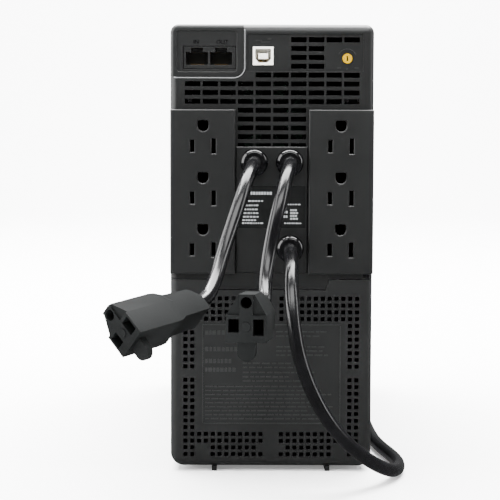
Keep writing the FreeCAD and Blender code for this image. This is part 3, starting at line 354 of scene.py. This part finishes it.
def bars(name, boxes, slot, body="case", finish=None):
    """Small raised or printed bars: each a (low corner, high corner) pair in mm. A bar is a
    unit cube's corners stretched from its low corner to its high one."""
    unit = np.array([[x, y, z] for z in (0, 1) for y in (0, 1) for x in (0, 1)])
    sides = np.array([[0, 2, 3, 1], [4, 5, 7, 6], [0, 1, 5, 4], [2, 6, 7, 3], [0, 4, 6, 2], [1, 3, 7, 5]])
    ends = np.array(boxes, float)
    verts = ends[:, :1] + unit * (ends[:, 1:] - ends[:, :1])
    faces = sides + 8 * np.arange(len(ends))[:, None, None]
    mesh = bpy.data.meshes.new(name)
    mesh.from_pydata((verts.reshape(-1, 3) * MM).tolist(), [], faces.reshape(-1, 4).tolist())
    return dress(finished(name, mesh, 1e-9), slot, body, finish)


def marks(spots, face, proud):
    """Bars standing proud of a face that looks along -Y: each (left, right, foot, top) in mm."""
    return [((left, face - proud, foot), (right, face + INTO, top)) for left, right, foot, top in spots]


# ---------------------------------------------------------------- cords
# Routes in mm: the control points of each cord's spline, from its gland outwards.
OUTPUT_LEFT = [
    (-10.5, -171, 186), (-10.5, -187, 186), (-13.8, -203.5, 180), (-18.2, -214.5, 167.2),
    (-23.4, -221.5, 151.8), (-27.8, -229.5, 138.3), (-31, -239.5, 126.3), (-34, -249, 118.8),
    (-37.3, -257.3, 114.8), (-41.6, -265, 113)]
OUTPUT_RIGHT = [
    (10.5, -171, 186), (10.5, -185.8, 186), (8.2, -198.9, 179.7), (5, -208.2, 168.6),
    (1.9, -212.4, 156.7), (-0.8, -212.8, 144), (-2.8, -215.7, 132), (-4.3, -222.2, 121),
    (-4.7, -232.3, 112.6), (-5.2, -244.8, 108.5), (-7, -258, 109.2)]
SUPPLY = [
    (10.8, -171, 135), (10.8, -190, 135), (10.6, -208, 130), (10.5, -221.5, 117.5), (11.4, -228, 100),
    (14.2, -230, 82), (20.2, -231, 64), (29.6, -229, 45.5), (42.3, -221, 29), (57, -207, 15.5),
    (69.4, -191, 6.8), (76, -172.5, 4.1), (77.5, -152, 4.1), (74.5, -129, 4.1), (70, -105, 4.1),
    (67, -76, 4.1), (66, -28, 4.1), (66.2, 26, 4.1), (66.6, 80, 4.1), (67.2, 134, 4.1),
    (68.8, 180, 4.1), (72.2, 219, 4.1)]
SUPPLY_TAIL = [(20, 298.2, 12.3), (4, 296.4, 11.2), (-11.5, 293.6, 9.6), (-26, 286.4, 9), (-36.2, 275, 10),
               (-41.4, 260.4, 12), (-42, 244, 12.7)]
COIL_MIDDLE = np.array((26, 250))
COIL_LANES = ((48.1, 4.1), (39.9, 4.1), (39.9, 12.3), (48.1, 12.3))    # radius and height, in mm
COIL_SHIFTS = ((270, 318), (578, 628), (890, 940))    # from lane to lane, in degrees of turn
COIL_START, COIL_END, COIL_STEP = -14, 1165, 22.5     # degrees of turn


def coil_turns():
    """The put-away length: at each angle the cord lies in one of four lanes of the ring,
    and glides from lane to lane over the stretches in COIL_SHIFTS. A control point stands
    a little outside the circle, because the spline cuts inside its corners."""
    angles = np.arange(COIL_START, COIL_END, COIL_STEP)
    lanes = np.array(COIL_LANES)
    radius = np.full(angles.shape, lanes[0, 0])
    height = np.full(angles.shape, lanes[0, 1])
    for (begin, end), before, after in zip(COIL_SHIFTS, lanes, lanes[1:]):
        share = np.clip((angles - begin) / (end - begin), 0, 1)
        share = share * share * (3 - 2 * share)
        radius += share * (after[0] - before[0])
        height += share * (after[1] - before[1])
    radius /= (1 + math.cos(math.radians(COIL_STEP / 2)) ** 2) / 2
    turn = np.radians(angles)
    x = COIL_MIDDLE[0] + radius * np.cos(turn)
    y = COIL_MIDDLE[1] + radius * np.sin(turn)
    return [tuple(point) for point in np.stack([x, y, height], axis=1)]


def cord(name, route, replaced):
    """A round cord on a smooth spline through its given route."""
    curve = bpy.data.curves.new(name, "CURVE")
    curve.dimensions = "3D"
    curve.bevel_depth = CORD_DIAMETER / 2
    curve.bevel_resolution = 7
    curve.resolution_u = 8
    curve.use_fill_caps = True
    spline = curve.splines.new("NURBS")
    spline.points.add(len(route) - 1)
    for point, place in zip(spline.points, route):
        point.co = (*[value * MM for value in place], 1)
    spline.order_u = 3
    spline.use_endpoint_u = True
    piece = bpy.data.objects.new(name, curve)
    bpy.context.collection.objects.link(piece)
    curve.materials.append(MATERIALS["cord_black"])
    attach(piece, "case")
    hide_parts(*replaced)
    return piece


# ---------------------------------------------------------------- stage
def studio():
    """White paper, kept out of the reflections: a flat floor that turns up behind in a
    quarter circle and stands to its top edge, the same all the way across. Large soft boxes
    light it from above and the left, with a weak one high in front and a strip on the right."""
    reach, start, bend, top = 9.0, 2.2, 0.8, 3.2
    turn = np.radians(np.linspace(0, 90, 16))
    back = np.concatenate([[-reach], start + bend * np.sin(turn), [start + bend]])
    high = np.concatenate([[0.0], bend - bend * np.cos(turn), [top]])
    x, y = np.meshgrid([-reach, reach], back)
    z = np.repeat(high[:, None], 2, axis=1)
    sweep = from_grid("studio_sweep", [np.stack([x, y, z], axis=-1) / MM])
    sweep.data.shade_smooth()
    sweep.visible_glossy = False
    material, _, shader = blank("white_paper")
    wire(shader, {"Base Color": linear("#fbfbfb"), "Roughness": 0.9, "Emission Color": (1, 1, 1, 1),
                  "Emission Strength": 0.25})
    sweep.data.materials.append(material)
    world = bpy.data.worlds.new("studio")
    world.use_nodes = True
    wire(world.node_tree.nodes["Background"], {"Color": (1, 1, 1, 1), "Strength": 0.15})
    bpy.context.scene.world = world
    lamp("top_box", (0, 0.3, 1.35), (0, 0.2, 0), 1.8, 1.4, 240)
    lamp("left_box", (-1.05, -0.3, 0.6), (0, -0.25, 0.3), 2.0, 1.0, 46)
    lamp("front_box", (0.1, -1.2, 1.15), (0, -0.16, 0.12), 1.5, 0.7, 26)
    lamp("right_strip", (1.15, -0.3, 0.55), (0, -0.2, 0.15), 0.25, 0.9, 6)
    lamp("paper_light", (0, 1.1, 2.2), (0, 2.6, 0.7), 2.4, 0.5, 520)


def lamp(name, place, target, wide, high, power):
    """A rectangular soft box at place, facing target."""
    data = bpy.data.lights.new(name, "AREA")
    data.shape = "RECTANGLE"
    data.size, data.size_y = wide, high
    data.energy = power
    piece = bpy.data.objects.new(name, data)
    piece.location = place
    piece.rotation_euler = (Vector(target) - Vector(place)).to_track_quat("-Z", "Y").to_euler()
    bpy.context.collection.objects.link(piece)


# ---------------------------------------------------------------- raised and printed marks
def notch_bead():
    """The rounded lip of the upper panel along the data port's notch: one section carried
    down the notch's right edge, round its corner and along its bottom. The section is a
    quarter circle from the notch's wall to just proud of the panel's face, closed behind."""
    low, high = corners("data_port_bezel")
    gap, bend, size, proud = 0.02, 6, 0.9, 0.12
    right, bottom = high[0] + gap, low[2] - gap
    top, end = high[2] - 3, low[0] + 2.2
    turn = np.radians(np.linspace(0, -90, 13))
    corner = np.stack([right - bend + bend * np.cos(turn), bottom + bend + bend * np.sin(turn)], axis=1)
    path = np.concatenate([[[right, top]], corner, [[end, bottom]]])
    outward = np.concatenate([[[1, 0]], np.stack([np.cos(turn), np.sin(turn)], axis=1), [[0, -1]]])
    swing = np.radians(np.linspace(0, 90, 7))
    reach = np.concatenate([[-INTO], size * (1 - np.cos(swing)), [size, -INTO]])
    depth = np.concatenate([[size], size * (1 - np.sin(swing)) - proud, [size, size]])
    across = path[:, None] + outward[:, None] * reach[None, :, None]
    y = np.broadcast_to(PANEL_FACE + depth, across.shape[:2])
    skin = np.stack([across[..., 0], y, across[..., 1]], axis=-1)
    # painted highlight: the lip is coloured pale grey for the light line its edge catches
    return dress(from_grid("port_notch_lip", [skin]), "panel_black", "case", "painted_highlight_edge")


def words(name, rows, face, proud, slot):
    """Raised letters on a face that looks along -Y: (text, middle x, foot z, height) in mm."""
    work = bmesh.new()
    for text, x, z, high in rows:
        curve = bpy.data.curves.new(name, "FONT")
        curve.body = text
        curve.align_x = "CENTER"
        curve.size = high * MM / CAPITALS
        curve.extrude = proud * MM / 2
        source = bpy.data.objects.new(name, curve)
        mesh = bpy.data.meshes.new_from_object(source)
        place = Matrix.Translation(Vector((x, face - proud / 2, z)) * MM)
        mesh.transform(place @ Matrix.Rotation(math.pi / 2, 4, "X"))
        work.from_mesh(mesh)
        bpy.data.objects.remove(source)
    mesh = bpy.data.meshes.new(name)
    work.to_mesh(mesh)
    work.free()
    return dress(finished(name, mesh), slot, "case")


def arc_rib(name, x, z, face, radius, wide, proud, start, end, slot, body="case", finish=None):
    """A raised arc on a face that looks along -Y: a four-sided section, wide by proud,
    carried round the arc from start to end degrees, with its two ends closed."""
    turn = np.radians(np.linspace(start, end, 33))[:, None]
    reach = radius + wide * np.array([-0.5, -0.5, 0.5, 0.5, -0.5])
    depth = np.array([INTO, -proud, -proud, INTO, INTO])
    ring = np.stack([x + reach * np.cos(turn), face + depth + 0 * turn, z + reach * np.sin(turn)], axis=-1)
    caps = [np.stack([ring[end][[0, 1]], ring[end][[3, 2]]]) for end in (0, -1)]
    return dress(from_grid(name, [ring] + caps), slot, body, finish)


def dashes(seed, left, right, middle, high, lengths, gap):
    """A row of small spots of uneven length, like a line of small print: (left, right, foot,
    top) in mm, from left until no more fit before right."""
    rng = np.random.default_rng(seed)
    row, x = [], left
    while x < right - lengths[0]:
        long = min(rng.uniform(*lengths), right - x)
        row.append((x, x + long, middle - high / 2, middle + high / 2))
        x += long + gap * rng.uniform(0.8, 1.6)
    return row


def print_rows(blocks):
    """Blocks of print rows: each block is (first seed, height of the print, shortest and
    longest dash, gap, rows) and each of its rows is (height up the face, left, right)."""
    spots = []
    for seed, high, lengths, gap, rows in blocks:
        for count, (middle, left, right) in enumerate(rows):
            spots += dashes(seed + count, left, right, middle, high, lengths, gap)
    return spots


def door_notice():
    """The door's raised notice: a thin border, four heading rows, and small print beside,
    between and below them, as plain dashes. Heights are counted from the door's foot."""
    low, _ = corners("battery_door")
    border = [(-41.3, -40.7, 26.4, 86.2), (41.2, 41.8, 26.4, 86.2), (-41.3, 41.8, 85.7, 86.3),
              (-40.5, 41.6, 26, 26.7)]
    margin = -39.5
    heading = [(81.2, margin, -21), (71.2, margin, -20), (64, margin, -23), (58.8, margin, -20)]
    beside = [(up, 3, 34 - 3 * (row % 2)) for row, up in enumerate((81.8, 79.2, 72.7, 70.2, 67.7))]
    between = [(up, -17, 12 + 7 * (row % 3)) for row, up in enumerate((62.7, 60.2, 57.2, 54.6, 52))]
    below = [(up, margin, 22 + 8 * (row % 3)) for row, up in enumerate(np.arange(48.7, 28.2, -2.45))]
    spots = print_rows([(0, 2.5, (1.3, 2.3), 0.55, heading), (40, 0.8, (1.5, 5), 0.7, beside),
                        (60, 0.8, (1.5, 5), 0.7, between), (80, 0.8, (1.5, 6), 0.7, below)])
    boxes = np.array(marks(border, 0, 0.3) + marks(spots, 0, 0.22)) + [0, low[1], low[2]]
    # painted highlight: the notice is a shade paler than the door, for the light its raised edges catch
    return bars("door_notice", boxes, "panel_black", "door", "relief_painted_highlight")


def label_print():
    """The rating label's print: a heading row with lines of dashes under it on the left, and
    small blocks on the right. Heights are counted from the label's foot."""
    low, _ = corners("rating_label")
    heading = [(20.6, -12.5, 1)]
    lines = [(16, -14, -4), (13.4, -15, -8), (11, -16, -8), (8.8, -16.6, -8), (6.6, -17, -7),
             (4.6, -17.4, -9), (2.8, -17.6, -4.5)]
    table = [(up, 11, 15.6) for up in (10.6, 8.9, 7.2, 5.5)]
    blocks = [(9.4, 6.8, 9.4), (6.8, 6.8, 9.4)]
    spots = print_rows([(3, 1.7, (0.9, 1.6), 0.35, heading), (10, 0.9, (0.6, 1.8), 0.4, lines),
                        (30, 1.1, (0.8, 1.6), 0.25, table), (50, 1.4, (0.9, 1.2), 0.3, blocks),
                        (52, 0.8, (0.6, 1.4), 0.3, [(2.8, 7.5, 17.5)]),
                        (53, 0.7, (0.8, 1.6), 0.3, [(14, 9.5, 17)])])
    boxes = np.array(marks(spots, 0, 0.04)) + [0, low[1], low[2]]
    return bars("label_print", boxes, "label_grey", "case", "print_grey")


def port_words():
    """The two generic words over the data jacks, raised on the bezel's recessed face."""
    face = corners("data_port_bezel")[0][1] + PORT_RIM
    low, high = corners("data_jack_block")
    middle, foot = (low[0] + high[0]) / 2, high[2] + 1.6
    rows = [("IN", middle - 7.9, foot, 2.3), ("OUT", middle + 7.5, foot, 2.3)]
    return words("port_words", rows, face, 0.25, "gloss_black")


def dial_scale():
    """Round the dial: an arc above it, a bar at each end of its travel and one below it, and a dark bar in
    its screwdriver slot, which turns with it: painted shade for the slot's depth."""
    low, high = corners("sensitivity_dial")
    middle = (low + high) / 2
    centre = [middle[0], 0, middle[2]]
    radius, wide, proud = 5.6, 0.5, 0.25
    # painted highlight: the arc and bars are a shade paler than the face, for the light their raised edges
    # catch
    arc_rib("dial_arc", middle[0], middle[2], INSET_FACE, radius, wide, proud, 25, 155, "panel_black", "case",
            "relief_painted_highlight")
    spots = [(-6.1, -3.7, -5.9, -5.2), (4.3, 6.7, -5.9, -5.2), (-0.4, 0.4, -6.7, -5.7)]
    bars("dial_marks", np.array(marks(spots, INSET_FACE, 0.2)) + centre, "panel_black", "case",
         "relief_painted_highlight")
    # painted shade: a polished-black bar in the slot for the dark at its bottom
    floor = [((-0.35, low[1] + 0.35, -1.3), (0.35, low[1] + 0.78, 1.3))]
    bars("dial_slot_painted_shade", np.array(floor) + centre, "gloss_black", "dial")


def usb_details():
    """Over the square port, three raised bars in place of its symbol; in it, two contacts."""
    low, high = corners("usb_socket_shell")
    spots = [(-4.6, -1, 3.5, 4), (-1.6, 4.2, 2.5, 3), (2.6, 4.8, 4.2, 5)]
    # painted highlight: the bars are a shade paler than the face, for the light their raised edges catch
    bars("usb_marks", np.array(marks(spots, INSET_FACE, 0.25)) + [(low[0] + high[0]) / 2, 0, high[2]],
         "panel_black", "case", "relief_painted_highlight")
    tongue = corners("usb_tongue")[0]
    contacts = [((across, 0.4, -1.4), (across + 1.1, 7, -0.8)) for across in (0.9, 3.8)]
    bars("usb_contacts", np.array(contacts) + tongue, "contact_gold")


def seam_notch_painted_shade():
    """The small pry notch between the battery door and the right socket strip, drawn as a thin dark bar on
    the face: painted shade for the notch's hollow.
    """
    right = corners("outlet_strip_right")[1][0]
    foot = corners("battery_door")[1][2]
    low = (right - 5.9, PANEL_FACE - 0.04, foot + 1)
    high = (right - 2.1, PANEL_FACE + 0.1, foot + 3.3)
    bars("seam_notch_painted_shade", [(low, high)], "gloss_black")


def power_ring():
    """The open ring printed on the power button's outer face."""
    low, high = corners("power_button")
    radius, wide, deep = 3.2, 0.7, 0.2
    arc_rib("power_ring", 0, (low[2] + high[2]) / 2, high[1], radius, wide, deep, 125, 415, "gloss_black",
            "power_key", "print_grey")


# ---------------------------------------------------------------- assembly
aim_camera()
studio()
# The finish of a CAD node where it isn't its record slot's own.
FINISHES = {"battery_door": "door_black"}
# painted shade: the socket rails and connector contacts take the near-black brass, for the dark inside the
# slots
for side in ("left", "right"):
    FINISHES[f"output_connector_{side}_contacts"] = "painted_shade_brass"
    FINISHES.update({f"{pole}_rail_{side}": "painted_shade_brass" for pole in ("line", "neutral", "ground")})
# painted shade: the parts seen through the vents are made near black for the dark inside the case
for node in ("fan_frame", "fan_rotor", "main_board", "mid_shelf", "battery_rear", "battery_front"):
    FINISHES[node] = "painted_shade_black"
for node, piece in NODES.items():
    piece.data.materials.clear()
    piece.data.materials.append(MATERIALS[FINISHES.get(node, SLOT_OF[node])])

SOFT_EDGE = 0.8    # an edge eased by more than this takes one more step to look round
EASED = {"rear_panel": 0.3, "battery_door": 0.25, "outlet_strip_left": 0.25, "outlet_strip_right": 0.25,
         "data_port_bezel": 0.35, "data_jack_block": 0.2, "top_cover": 0.4, "base_tray": 0.4,
         "front_bezel": 0.4, "display_inlay": 0.2, "usb_socket_shell": 0.25, "usb_tongue": 0.2,
         "sensitivity_dial": 0.15, "power_button": 0.2, "mute_button": 0.2,
         "output_connector_left": 0.9, "output_connector_right": 0.9, "supply_plug": 1.0,
         "output_gland_left": 0.4, "output_gland_right": 0.4, "supply_gland": 0.4}
for node, width in EASED.items():
    soft_copy(node, width, 3 if width > SOFT_EDGE else 2, FINISHES.get(node))

notch_bead()
port_words()
door_notice()
label_print()
dial_scale()
usb_details()
seam_notch_painted_shade()
power_ring()

left = cord("output_cord_left_jacket", OUTPUT_LEFT, ["output_cord_left"])
right = cord("output_cord_right_jacket", OUTPUT_RIGHT, ["output_cord_right"])
supply = cord("supply_cord_jacket", SUPPLY + coil_turns() + SUPPLY_TAIL,
              ["supply_cord", "supply_cord_coil", "supply_cord_tail"])
